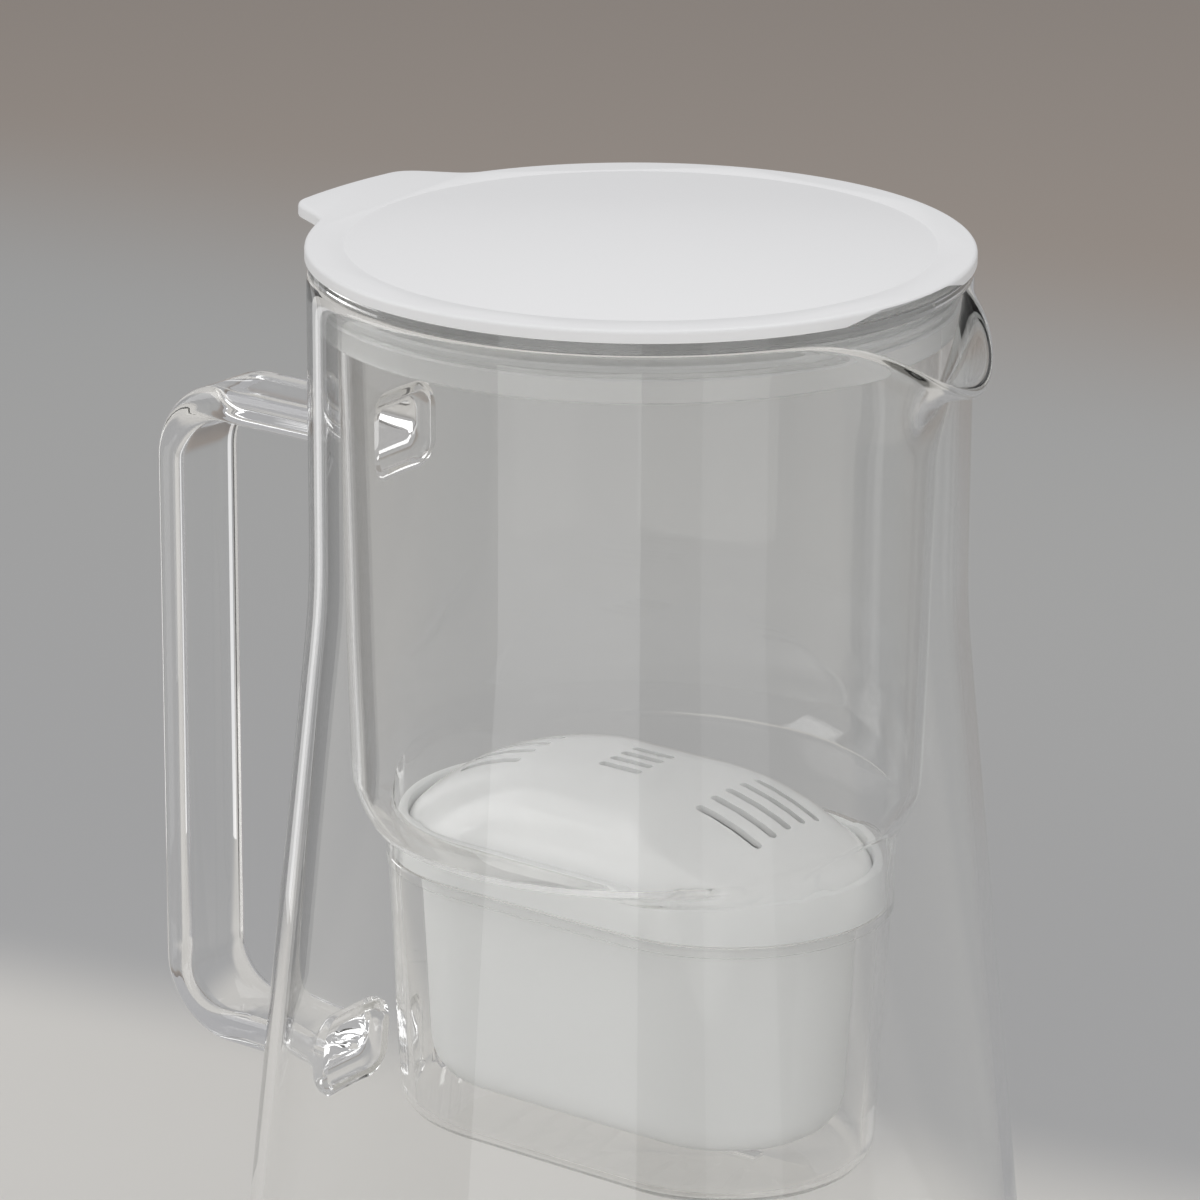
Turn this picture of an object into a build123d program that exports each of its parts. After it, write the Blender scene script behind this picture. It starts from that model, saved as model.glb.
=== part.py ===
from build123d import *
import os
from math import acos, atan2, cos, degrees, hypot, radians, sin, tan

# Water filter pitcher. Sizes are in millimetres and angles in degrees.
# The origin is the centre of the underside, +Z is up, the spout points along +X and the handle along -X.

# Glass carafe: a cone that runs up into a straight neck
foot_radius = 84.5
rim_height = 265.0
neck_height = 65.0
glass_wall = 2.4
glass_floor = 3.6
heel_round = 9.0
waist_round = 260.0

# Spout, drawn out of the hot rim
spout_reach = 13.0
spout_drop = 12.0
spout_half_angle = 32.0
spout_sharpness = 3.0
spout_dip_sharpness = 2.2
spout_depth = 37.0
spout_stations = 13

# Glass handle: a flat bar bent into a C, with both ends welded to the wall
handle_reach = 52.2
handle_width = 20.0
handle_thickness = 7.2
handle_edge_round = 3.2
handle_bend = 13.4
upper_weld_drop = 43.2
lower_weld_z = 86.8
weld_width = 22.0
weld_height = 18.0
weld_round = 5.0
weld_rise = 2.9
dimple_width = 18.0
dimple_height = 14.0
dimple_round = 3.5
weld_foot_length = 11.0

# Hopper: a clear moulding that hangs from the carafe rim by its flange
hopper_wall = 1.6
hopper_taper = 2.4
hopper_seat_depth = 13.0
hopper_seat_blend = 40.0
bowl_margin = 1.2
bowl_round = 18.0
bowl_depth = 116.0
funnel_rim_depth = 108.2
funnel_foot_depth = 114.6
flange_inset = 0.4
flange_thickness = 2.5
rim_clearance = 0.1

# Cartridge pocket under the bowl, an oval with straight sides
ledge_depth = 121.5
ledge_width = 1.0
pocket_depth = 55.0
pocket_draft = 2.8
pocket_wall = 2.2
pocket_floor = 2.0
pocket_round = 5.0
collar_clearance = 0.2
guide_rib_height = 22.0
guide_rib_thickness = 1.6
guide_rib_spacing = 8.0
guide_clearance = 0.5
drain_slot_length = 9.0
drain_slot_width = 3.0
drain_slot_pitch = 13.0
drain_slot_count = 5

# Silicone ring round the top of the hopper
seal_room = 3.5
seal_height = 9.4
seal_rim_gap = 0.1
seal_clearance = 0.3
seal_base_thickness = 1.7
seal_band_height = 4.7
seal_rib_height = 1.3
seal_rib_count = 2

# Lid
lid_overhang = 0.2
lid_thickness = 2.4
lid_edge_round = 0.8
tab_length = 9.3
tab_corner_length = 8.0
tab_end_width = 33.6
tab_root_depth = 10.0
tab_root_width = 51.6
tab_corner_round = 6.0
tab_root_round = 5.0
skirt_depth = 7.5
skirt_thickness = 1.6
skirt_clearance = 0.6
groove_inset = 7.5
groove_width = 0.8
groove_depth = 0.4
pour_relief_height = 1.9
pour_relief_depth = 3.5
pour_relief_foot_width = 38.5
pour_relief_crest_width = 22.0

# Filter cartridge
collar_half_length = 52.5
collar_half_width = 31.0
collar_height = 8.5
collar_draft = 2.7
collar_wall = 2.0
web_thickness = 1.5
collar_overhang_length = 5.0
collar_overhang_width = 5.7
cup_depth = 47.0
cup_draft = 2.8
cup_wall = 1.3
cup_round = 7.0
outlet_slot_length = 18.0
outlet_slot_width = 2.0
outlet_slot_pitch = 7.0
outlet_slot_count = 9
screen_thickness = 0.4
screen_bar = 1.2
screen_slot_width = 2.2
cap_clearance = 0.15
cap_wall = 1.3
cap_skirt_height = 4.6
dome_height = 16.0
vent_width = 1.9
end_vent_length = 15.0
end_vent_x = 29.0
end_vent_pitch = 4.8
end_vent_count = 5
crest_vent_length = 10.0
crest_vent_pitch = 3.6
crest_vent_count = 4
media_clearance = 0.1
media_headroom = 0.5

# The jug is built round its cartridge: radii that follow from the length of the collar
bowl_radius = collar_half_length + collar_clearance + hopper_wall + bowl_margin
hopper_radius = bowl_radius + hopper_taper
neck_radius = hopper_radius + seal_room + glass_wall
flange_radius = neck_radius - flange_inset
lid_radius = neck_radius + lid_overhang
groove_radius = lid_radius - groove_inset
handle_outer_x = -neck_radius - handle_reach
cup_half_length = collar_half_length - collar_overhang_length
cup_half_width = collar_half_width - collar_overhang_width

# Levels that hang from the carafe rim
flare_top = rim_height - neck_height
spout_root = rim_height - spout_depth
upper_weld_z = rim_height - upper_weld_drop
hopper_seat_bottom = rim_height - hopper_seat_depth
bowl_bottom = rim_height - bowl_depth
funnel_rim_z = rim_height - funnel_rim_depth
funnel_foot_z = rim_height - funnel_foot_depth
ledge_z = rim_height - ledge_depth
pocket_bottom = ledge_z - pocket_depth
cup_bottom = ledge_z - cup_depth
seal_top = rim_height - seal_rim_gap
seal_bottom = seal_top - seal_height


def polar(radius, angle):
    """Point of the XY plane at a radius and an angle from +X."""
    return (radius * cos(radians(angle)), radius * sin(radians(angle)))


def oval(half_length, half_width, z):
    """Flat face with two straight sides and two round ends, at a height."""
    return Pos(0, 0, z) * SlotOverall(2 * half_length, 2 * half_width)


def tapered_oval(half_length, half_width, z_top, z_bottom, draft):
    """Oval block that narrows downwards, sized at its top."""
    inset = (z_top - z_bottom) * tan(radians(draft))
    top = oval(half_length, half_width, z_top)
    bottom = oval(half_length - inset, half_width - inset, z_bottom)
    return loft([bottom, top])


def turned(outline):
    """Solid turned round the Z axis from a closed outline of (radius, height) edges."""
    return revolve(Plane.XZ * make_face(outline), axis=Axis.Z)


def turned_vessel(corners, rounds):
    """Solid of revolution under a profile that starts on the axis and ends at its rim."""
    profile = FilletPolyline(*corners, radius=rounds)
    top = corners[-1][1]
    closing = Polyline(corners[-1], (0, top), corners[0])
    return turned(profile + closing)


def ring(inner_radius, outer_radius, z_bottom, z_top):
    """Plain flat ring."""
    height = z_top - z_bottom
    outer = Cylinder(outer_radius, height, align=(Align.CENTER, Align.CENTER, Align.MIN))
    inner = Cylinder(inner_radius, height, align=(Align.CENTER, Align.CENTER, Align.MIN))
    return Pos(0, 0, z_bottom) * (outer - inner)


def bottom_edges(solid):
    """Edges that lie all round the lowest face of a solid."""
    return solid.faces().sort_by(Axis.Z)[0].edges()


def top_edges(solid):
    """Edges that lie all round the highest face of a solid."""
    return solid.faces().sort_by(Axis.Z)[-1].edges()


# Glass carafe
flare_slope = (foot_radius - neck_radius) / flare_top
flare_angle = degrees(atan2(foot_radius - neck_radius, flare_top))
plain_neck_swell = 0.0005  # keeps the bend of the plain neck from shrinking to nothing
neck_embed = 2.0  # the neck's foot runs this far down inside the bowl's wall
neck_step = 0.1  # and is this much thinner than the wall on each side


def carafe_wall_radius(z):
    """Outer radius of the carafe wall at a height, leaving out the soft waist."""
    return neck_radius + max(0.0, flare_top - z) * flare_slope


def carafe_bowl():
    """Lower part of the carafe, from the floor up to the level where the spout's root starts."""
    corners = [(0, 0), (foot_radius, 0), (neck_radius, flare_top), (neck_radius, spout_root)]
    outside = turned_vessel(corners, [heel_round, waist_round])
    bore = neck_radius - glass_wall
    sloped_wall = glass_wall / cos(radians(flare_angle))
    floor_radius = carafe_wall_radius(glass_floor) - sloped_wall
    corners = [(0, glass_floor), (floor_radius, glass_floor), (bore, flare_top), (bore, spout_root)]
    return outside - turned_vessel(corners, [heel_round - glass_wall, waist_round + glass_wall])


def neck_section(angle):
    """Upright slice through the neck at an angle from +X, bent outwards within the spout."""
    share = max(cos(radians(90 * angle / spout_half_angle)), 0.0)
    swell = share ** spout_sharpness
    bend = acos(1 - max(swell, plain_neck_swell))
    lip_z = rim_height - spout_drop * swell ** spout_dip_sharpness
    bead = glass_wall / 2
    middle_round = spout_reach + bead
    inner_round = spout_reach + glass_wall
    start_z = lip_z - middle_round * sin(bend) - bead * cos(bend)

    def on_bend(radius, turn):
        return (neck_radius + spout_reach - radius * cos(turn), start_z + radius * sin(turn))

    bore = neck_radius - glass_wall
    inner_end = on_bend(inner_round, bend)
    outer_end = on_bend(spout_reach, bend)
    middle_end = on_bend(middle_round, bend)
    bead_top = (middle_end[0] + bead * sin(bend), middle_end[1] + bead * cos(bend))
    root_z = spout_root - neck_embed
    edges = Line((bore + neck_step, root_z), (bore, start_z))
    edges += ThreePointArc((bore, start_z), on_bend(inner_round, bend / 2), inner_end)
    edges += ThreePointArc(inner_end, bead_top, outer_end)
    edges += ThreePointArc(outer_end, on_bend(spout_reach, bend / 2), (neck_radius, start_z))
    edges += Line((neck_radius, start_z), (neck_radius - neck_step, root_z))
    edges += Line((neck_radius - neck_step, root_z), (bore + neck_step, root_z))
    direction = polar(1, angle)
    upright = Plane(origin=(0, 0, 0), x_dir=(*direction, 0), z_dir=(direction[1], -direction[0], 0))
    return upright * make_face(edges)


def neck():
    """Straight neck turned most of the way round, closed by the spout lofted across the gap."""
    step = 2 * spout_half_angle / (spout_stations - 1)
    spout = loft([neck_section(index * step - spout_half_angle) for index in range(spout_stations)])
    plain = revolve(neck_section(spout_half_angle), axis=Axis.Z, revolution_arc=360 - 2 * spout_half_angle)
    return plain + spout


def weld_plane(z):
    """Plane that touches the outside of the wall on the handle's side, facing out."""
    lean = flare_angle if z < flare_top else 0.0
    outward = (-cos(radians(lean)), 0, sin(radians(lean)))
    return Plane(origin=(-carafe_wall_radius(z), 0, z), x_dir=(0, 1, 0), z_dir=outward)


def weld_boss(z):
    """Swelling of the wall where one end of the handle is welded on, rooted halfway into the wall."""
    outline = RectangleRounded(weld_width, weld_height, weld_round)
    return extrude(weld_plane(z).offset(-glass_wall / 2) * outline, amount=weld_rise + glass_wall / 2)


def weld_dimple(z):
    """Hollow that is pressed into the weld from inside the carafe."""
    outline = RectangleRounded(dimple_width, dimple_height, dimple_round)
    depth = weld_rise - glass_wall
    hollow = extrude(weld_plane(z).offset(depth) * outline, amount=-2 * weld_rise)
    floor = hollow.faces().sort_by(Axis.X)[0]
    return fillet(floor.edges(), dimple_round / 2)


def carafe_body():
    body = carafe_bowl() + neck()
    for z in (upper_weld_z, lower_weld_z):
        body += weld_boss(z)
        body -= weld_dimple(z)
    return body


def handle_section(width, height, corner):
    return RectangleRounded(width, height, corner)


def weld_foot(z):
    """End of the handle bar, which spreads like a bell until it covers its weld."""
    face_plane = weld_plane(z).offset(weld_rise)
    flare = []
    for share in (0.0, 0.3, 0.6, 0.85, 1.0):
        spread = (1 - share) ** 2
        width = handle_width + (weld_width - handle_width) * spread
        height = handle_thickness + (weld_height - handle_thickness) * spread
        corner = handle_edge_round + (weld_round - handle_edge_round) * spread
        upright = Plane(origin=face_plane.origin - Vector(weld_foot_length * share, 0, 0),
                        x_dir=(0, 1, 0), z_dir=(-1, 0, 0))
        level = face_plane if share == 0 else upright
        flare.append(level * handle_section(width, height, corner))
    return loft(flare)


def handle():
    bar_x = handle_outer_x + handle_thickness / 2
    upper_x = weld_plane(upper_weld_z).offset(weld_rise).origin.X - weld_foot_length
    lower_face = weld_plane(lower_weld_z).offset(weld_rise).origin
    lower_x = lower_face.X - weld_foot_length
    path = FilletPolyline((upper_x, 0, upper_weld_z), (bar_x, 0, upper_weld_z),
                          (bar_x, 0, lower_face.Z), (lower_x, 0, lower_face.Z), radius=handle_bend)
    start = Plane(origin=(upper_x, 0, upper_weld_z), x_dir=(0, 1, 0), z_dir=(-1, 0, 0))
    section = start * handle_section(handle_width, handle_thickness, handle_edge_round)
    bar = sweep(section, path=path)
    return bar + weld_foot(upper_weld_z) + weld_foot(lower_weld_z)


# Hopper
flange_bottom = rim_height + rim_clearance
flange_top = flange_bottom + flange_thickness
mouth_half_length = collar_half_length + collar_clearance
mouth_half_width = collar_half_width + collar_clearance
mouth_top = bowl_bottom + bowl_round
pocket_inner_floor = pocket_bottom + pocket_floor


def bowl(inset):
    """Round bowl under the hopper wall, closed by a funnel that runs down to the pocket's oval."""
    bottom = bowl_bottom + inset
    wall_r = bowl_radius - inset
    top_r = hopper_radius - inset
    corners = [(0, bottom), (wall_r, bottom), (top_r, hopper_seat_bottom), (top_r, flange_top)]
    vessel = turned_vessel(corners, [bowl_round - inset, hopper_seat_blend])
    vessel = split(vessel, bisect_by=Plane.XY.offset(funnel_rim_z + inset), keep=Keep.TOP)
    rim = vessel.faces().sort_by(Axis.Z)[0]
    rim_radius = rim.bounding_box().size.X / 2
    foot = oval(rim_radius, mouth_half_width + hopper_wall - inset, funnel_foot_z + inset)
    return vessel + loft([foot, rim], ruled=True)


def pocket(mouth_length, mouth_width, step, step_z, floor_z, edge_round):
    """Oval pocket for the cartridge: a mouth over a body that is one step narrower and tapers downwards."""
    mouth = loft([oval(mouth_length, mouth_width, step_z), oval(mouth_length, mouth_width, mouth_top)])
    body = tapered_oval(mouth_length - step, mouth_width - step, step_z, floor_z, pocket_draft)
    body = fillet(bottom_edges(body), edge_round)
    return mouth + body


def guide_ribs():
    """Two upright ribs at the handle's end of the pocket that keep the cartridge cup in line."""
    inner_x = cup_half_length_at(pocket_inner_floor + guide_rib_height) + guide_clearance
    outer_x = mouth_half_length - ledge_width
    block = Box(outer_x - inner_x, guide_rib_thickness, guide_rib_height + pocket_floor,
                align=(Align.MAX, Align.CENTER, Align.MIN))
    return [Pos(-inner_x, y, pocket_bottom) * block for y in (-guide_rib_spacing / 2, guide_rib_spacing / 2)]


def slot_row(count, pitch, size_x, size_y, z, depth):
    """Row of slots along X, each one cut straight down."""
    slot = Box(size_x, size_y, depth, align=(Align.CENTER, Align.CENTER, Align.MIN))
    row = Part()
    for index in range(count):
        row += Pos((index - (count - 1) / 2) * pitch, 0, z) * slot
    return row


def hopper():
    outer_step = ledge_width + hopper_wall - pocket_wall
    outside = bowl(0) + pocket(mouth_half_length + hopper_wall, mouth_half_width + hopper_wall,
                               outer_step, ledge_z - hopper_wall, pocket_bottom, pocket_round)
    outside += ring(hopper_radius - hopper_wall, flange_radius, flange_bottom, flange_top)
    inside = bowl(hopper_wall) + pocket(mouth_half_length, mouth_half_width, ledge_width, ledge_z,
                                        pocket_inner_floor, pocket_round - pocket_wall)
    shell = outside - inside
    for rib in guide_ribs():
        shell += rib & outside
    drains = slot_row(drain_slot_count, drain_slot_pitch, drain_slot_length, drain_slot_width,
                      pocket_bottom - pocket_floor, 3 * pocket_floor)
    return shell - drains


def seal_ring():
    """Ribbed ring that closes the space between the hopper and the neck."""
    outer = neck_radius - glass_wall - seal_clearance
    base = hopper_radius + seal_base_thickness
    ribbed_height = seal_top - seal_bottom - seal_band_height
    body = ring(hopper_radius, base, seal_bottom, seal_top)
    body += ring(hopper_radius, outer, seal_bottom, seal_bottom + seal_band_height)
    pitch = ribbed_height / seal_rib_count
    for index in range(seal_rib_count):
        top = seal_top - index * pitch
        body += ring(hopper_radius, outer, top - seal_rib_height, top)
    return body


# Lid
lid_bottom = flange_top


def lid_plate():
    """Flat disc with a thumb tab over the handle, its corners rounded in plan."""
    disc = Circle(lid_radius)
    tip_x = -lid_radius - tab_length
    corner_x, corner_y = -lid_radius - tab_corner_length, tab_end_width / 2
    root_x, root_y = -lid_radius + tab_root_depth, tab_root_width / 2
    edge = ThreePointArc((corner_x, -corner_y), (tip_x, 0), (corner_x, corner_y))
    sides = Polyline((corner_x, corner_y), (root_x, root_y), (root_x, -root_y), (corner_x, -corner_y))
    plate = extrude(Pos(0, 0, lid_bottom) * (disc + make_face(edge + sides)), amount=lid_thickness)
    upright = plate.edges().filter_by(Axis.Z)
    roots = [e for e in upright if abs(hypot(e.center().X, e.center().Y) - lid_radius) < 0.01]
    plate = fillet([e for e in roots if e.center().X < -lid_radius / 2], tab_root_round)
    tips = [e for e in plate.edges().filter_by(Axis.Z) if abs(e.center().X - corner_x) < 0.01]
    return fillet(tips, tab_corner_round)


def pour_relief():
    """Low arch under the edge of the lid that lets the water out to the spout."""
    foot, crest = pour_relief_foot_width / 2, pour_relief_crest_width / 2
    arch_top = lid_bottom + pour_relief_height
    arch = make_face(Polyline((-foot, lid_bottom), (-crest, arch_top), (crest, arch_top), (foot, lid_bottom),
                              close=True))
    passage = extrude(Plane.YZ * arch, amount=2 * lid_radius)
    return passage & ring(lid_radius - pour_relief_depth, 2 * lid_radius, lid_bottom, arch_top)


def lid():
    plate = fillet(top_edges(lid_plate()), lid_edge_round)
    skirt_outer = hopper_radius - hopper_wall - skirt_clearance
    plate += ring(skirt_outer - skirt_thickness, skirt_outer, lid_bottom - skirt_depth, lid_bottom)
    plate -= ring(groove_radius - groove_width / 2, groove_radius + groove_width / 2,
                  lid_bottom + lid_thickness - groove_depth, lid_bottom + 2 * lid_thickness)
    return plate - pour_relief()


# Filter cartridge
collar_top = ledge_z + collar_height
web_top = ledge_z + web_thickness
cup_floor = cup_bottom + cup_wall
collar_inset_per_mm = tan(radians(collar_draft))
cap_half_length = collar_half_length - collar_wall - cap_clearance - collar_height * collar_inset_per_mm
cap_half_width = collar_half_width - collar_wall - cap_clearance - collar_height * collar_inset_per_mm
cap_bottom = web_top + screen_thickness
dome_bottom = cap_bottom + cap_skirt_height


def cup_half_length_at(z):
    """Half length of the outside of the cup at a height."""
    return cup_half_length - (ledge_z - z) * tan(radians(cup_draft))


def cartridge_cup():
    """Cup with the wide collar that seats on the ledge of the pocket."""
    outside = tapered_oval(cup_half_length, cup_half_width, ledge_z + web_thickness, cup_bottom, cup_draft)
    outside = fillet(bottom_edges(outside), cup_round)
    inside = tapered_oval(cup_half_length - cup_wall, cup_half_width - cup_wall,
                          ledge_z + web_thickness, cup_floor, cup_draft)
    inside = fillet(bottom_edges(inside), cup_round - cup_wall)
    top_inset = collar_height * collar_inset_per_mm
    collar = loft([oval(collar_half_length, collar_half_width, ledge_z),
                   oval(collar_half_length - top_inset, collar_half_width - top_inset, collar_top)])
    hollow_length = collar_half_length - collar_wall
    hollow_width = collar_half_width - collar_wall
    hollow = loft([oval(hollow_length, hollow_width, web_top),
                   oval(hollow_length - top_inset, hollow_width - top_inset, collar_top)])
    slots = slot_row(outlet_slot_count, outlet_slot_pitch, outlet_slot_width, outlet_slot_length,
                     cup_bottom - cup_wall, 3 * cup_wall)
    return outside + (collar - hollow) - inside - slots


def dome(inset):
    """Domed block that stands on the cap's skirt: its height falls off from the middle by a cube law."""
    half_length = cap_half_length - inset
    half_width = cap_half_width - inset
    height = dome_height - inset
    levels = []
    for share in (1.0, 0.93, 0.84, 0.72, 0.56, 0.38, 0.2):
        z = dome_bottom + height * (1 - share ** 3)
        levels.append(oval(half_length * share, half_width * share, z))
    return loft(levels)


def vents(count, pitch, length, x):
    """Group of parallel slots through the dome, centred on the X axis."""
    group = Part()
    for index in range(count):
        y = (index - (count - 1) / 2) * pitch
        slot = Pos(x, y, dome_bottom) * SlotOverall(length, vent_width)
        group += extrude(slot, amount=2 * dome_height)
    return group


def cartridge_cap():
    skirt = extrude(oval(cap_half_length, cap_half_width, cap_bottom), amount=cap_skirt_height)
    hollow = extrude(oval(cap_half_length - cap_wall, cap_half_width - cap_wall, cap_bottom),
                     amount=cap_skirt_height)
    shell = (skirt + dome(0)) - hollow - dome(cap_wall)
    for x in (-end_vent_x, end_vent_x):
        shell -= vents(end_vent_count, end_vent_pitch, end_vent_length, x)
    return shell - vents(crest_vent_count, crest_vent_pitch, crest_vent_length, 0)


def screen(half_length, half_width, z):
    """Thin slotted sheet that keeps the granules in."""
    sheet = extrude(oval(half_length, half_width, z), amount=screen_thickness)
    pitch = screen_slot_width + screen_bar
    reach = half_length - half_width / 2
    count = 2 * int(reach / pitch) - 1
    slots = slot_row(count, pitch, screen_slot_width, half_width, z - screen_thickness, 3 * screen_thickness)
    return sheet - slots


def inlet_screen():
    return screen(cap_half_length, cap_half_width, web_top)


def outlet_screen():
    corner = cup_round - cup_wall
    inset = cup_wall + (ledge_z - cup_floor) * tan(radians(cup_draft)) + corner
    return screen(cup_half_length - inset, cup_half_width - inset, cup_floor)


def filter_media():
    """Bed of granules that fills the cup between the two screens."""
    top = web_top - media_headroom
    inset = cup_wall + media_clearance
    bottom = cup_floor + screen_thickness
    bed = tapered_oval(cup_half_length - inset, cup_half_width - inset, top, bottom, cup_draft)
    return fillet(bottom_edges(bed), cup_round - cup_wall)


pieces = {
    "carafe_body": carafe_body,
    "handle": handle,
    "hopper": hopper,
    "seal_ring": seal_ring,
    "lid": lid,
    "cartridge_cup": cartridge_cup,
    "cartridge_cap": cartridge_cap,
    "inlet_screen": inlet_screen,
    "filter_media": filter_media,
    "outlet_screen": outlet_screen,
}

os.makedirs("parts", exist_ok=True)
for name, make in pieces.items():
    export_step(make(), "parts/" + name + ".step")
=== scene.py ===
from math import acos, atan2, cos, hypot, pi, radians, sin, sqrt, tan

import bmesh
import bpy
from mathutils import Matrix, Vector


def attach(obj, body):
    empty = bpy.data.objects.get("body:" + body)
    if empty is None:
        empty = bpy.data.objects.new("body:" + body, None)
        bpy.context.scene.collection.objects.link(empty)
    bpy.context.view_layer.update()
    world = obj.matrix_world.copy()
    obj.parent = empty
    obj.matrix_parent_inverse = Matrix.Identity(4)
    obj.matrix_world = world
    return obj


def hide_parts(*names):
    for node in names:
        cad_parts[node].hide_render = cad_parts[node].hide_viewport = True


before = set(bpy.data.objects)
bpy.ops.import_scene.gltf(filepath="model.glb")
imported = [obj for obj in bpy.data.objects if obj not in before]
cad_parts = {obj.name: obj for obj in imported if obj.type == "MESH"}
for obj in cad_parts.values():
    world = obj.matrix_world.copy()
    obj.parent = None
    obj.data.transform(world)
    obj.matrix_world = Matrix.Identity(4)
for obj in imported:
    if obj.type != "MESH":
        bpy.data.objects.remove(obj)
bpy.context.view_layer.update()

# Camera, at the height and the angle from which the pitcher was photographed: 37 degrees round
# from its side towards the spout, looking 18 degrees down through a long lens.
view_azimuth = radians(37.0)
view_elevation = radians(18.0)
view_roll = radians(0.32)
view_distance = 1.142
aim_across = -0.0074
aim_level = 0.1983
across = Vector((cos(view_azimuth), sin(view_azimuth), 0))
backwards = Vector((sin(view_azimuth) * cos(view_elevation),
                    -cos(view_azimuth) * cos(view_elevation), sin(view_elevation)))
upwards = backwards.cross(across)
aim = across * aim_across + Vector((0, 0, aim_level))
camera_data = bpy.data.cameras.new("camera")
camera_data.lens = 176.6
camera_data.sensor_width = 36
camera = bpy.data.objects.new("camera", camera_data)
bpy.context.scene.collection.objects.link(camera)
turned_across = across * cos(view_roll) + upwards * sin(view_roll)
turned_upwards = upwards * cos(view_roll) - across * sin(view_roll)
facing = Matrix((turned_across, turned_upwards, backwards)).transposed()
camera.matrix_world = Matrix.Translation(aim + backwards * view_distance) @ facing.to_4x4()
bpy.context.scene.camera = camera
bpy.context.scene.view_settings.view_transform = "Standard"

# Floor: a plain pale table top, smooth and matt, which runs out of sight behind the pitcher.
# Its colour carries painted light: painted warm white under the pitcher, where the light pools, it falls away
# to grey, and then to a warmer grey, behind it.
floor_size = 12
floor_gap = 0.0002
tone_slant = 0.48
tone_span = 1.6
# Distance back from the middle of the pitcher, in metres, and the colour, with its painted light and shade,
# that is reached there.
painted_falloff_tones = ((0.195, (0.62, 0.605, 0.575)), (0.262, (0.40, 0.40, 0.40)),
               (0.84, (0.46, 0.46, 0.45)), (1.15, (0.41, 0.355, 0.31)))


def new_material(name):
    """Empty node material with one Principled shader, ready to be joined up."""
    material = bpy.data.materials.new(name)
    material.use_nodes = True
    nodes = material.node_tree.nodes
    return material, nodes, material.node_tree.links, nodes["Principled BSDF"]


bpy.ops.object.select_all(action="DESELECT")
bpy.ops.mesh.primitive_grid_add(x_subdivisions=8, y_subdivisions=8, size=floor_size,
                                location=(0, 0, -floor_gap))
floor = bpy.context.object
floor.name = "floor"
floor_painted_falloff, nodes, links, shader = new_material("pale_table_painted_falloff")
place = nodes.new("ShaderNodeTexCoord")
depth = nodes.new("ShaderNodeVectorMath")
depth.operation = "DOT_PRODUCT"
depth.inputs[1].default_value = (-sin(view_azimuth) + tone_slant * cos(view_azimuth),
                                 cos(view_azimuth) + tone_slant * sin(view_azimuth), 0)
span = nodes.new("ShaderNodeMapRange")
span.inputs["From Max"].default_value = tone_span
tones = nodes.new("ShaderNodeValToRGB")
ramp = tones.color_ramp
ramp.interpolation = "EASE"
# The ramp has two places of its own, and the others are added to it.
for index, (distance, colour) in enumerate(painted_falloff_tones):
    tone = ramp.elements[index] if index < 2 else ramp.elements.new(distance / tone_span)
    tone.position = distance / tone_span
    tone.color = (*colour, 1)
links.new(place.outputs["Object"], depth.inputs[0])
links.new(depth.outputs["Value"], span.inputs["Value"])
links.new(span.outputs["Result"], tones.inputs["Fac"])
# The painted light falloff goes into the table's base colour.
links.new(tones.outputs["Color"], shader.inputs["Base Color"])
shader.inputs["Roughness"].default_value = 0.6
floor.data.materials.append(floor_painted_falloff)


# Light: a wide soft box overhead, one in front and one to each side, two low ones whose pale bands
# show on the glass, and an even grey surround. A narrow light and a dark card to the left behind
# the pitcher draw the edges of the glass.
def soft_box(name, place, size, power, target):
    """Area lamp that faces a target."""
    data = bpy.data.lights.new(name, "AREA")
    data.shape = "RECTANGLE"
    data.size, data.size_y = size
    data.energy = power
    lamp = bpy.data.objects.new(name, data)
    bpy.context.scene.collection.objects.link(lamp)
    lamp.location = place
    lamp.rotation_euler = (Vector(place) - Vector(target)).to_track_quat("Z", "Y").to_euler()
    lamp.visible_camera = False
    return lamp


towards = Vector((sin(view_azimuth), -cos(view_azimuth), 0))
pitcher_middle = (0, 0, 0.15)
soft_box("overhead_light", place=(0.1, 0.25, 1.5), size=(1.4, 1.4), power=7.6, target=(0, 0, 0.2))
soft_box("left_light", place=(-1.1, -0.5, 0.9), size=(0.7, 1.1), power=5.0, target=pitcher_middle)
front_light = soft_box("front_light", place=towards * 1.1 + across * -0.2 + Vector((0, 0, 0.8)),
                       size=(0.9, 0.6), power=3.2, target=pitcher_middle)
right_light = soft_box("right_light", place=(1.2, 0.3, 0.7), size=(0.4, 1.0), power=2.4,
                       target=pitcher_middle)
# These two only brighten the pitcher, and neither is seen in the glass.
for lamp in (front_light, right_light):
    lamp.visible_glossy = False
    lamp.visible_transmission = False

glow_distance = 0.42
glow_height = 0.16
glow_level = Vector((0, 0, 0.09))
for name, bearing, width, power in (("window_glow", -23, 0.36, 0.24), ("second_glow", 30, 0.16, 0.05)):
    direction = towards * cos(radians(bearing)) + across * sin(radians(bearing))
    glow = soft_box(name, place=direction * glow_distance + glow_level, size=(width, glow_height),
                    power=power, target=glow_level)
    glow.visible_transmission = False
edge_level = Vector((0, 0, 0.17))
soft_box("left_edge_light", place=across * -0.235 - towards * 0.30 + edge_level, size=(0.05, 0.30),
         power=0.022, target=edge_level)

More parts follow.
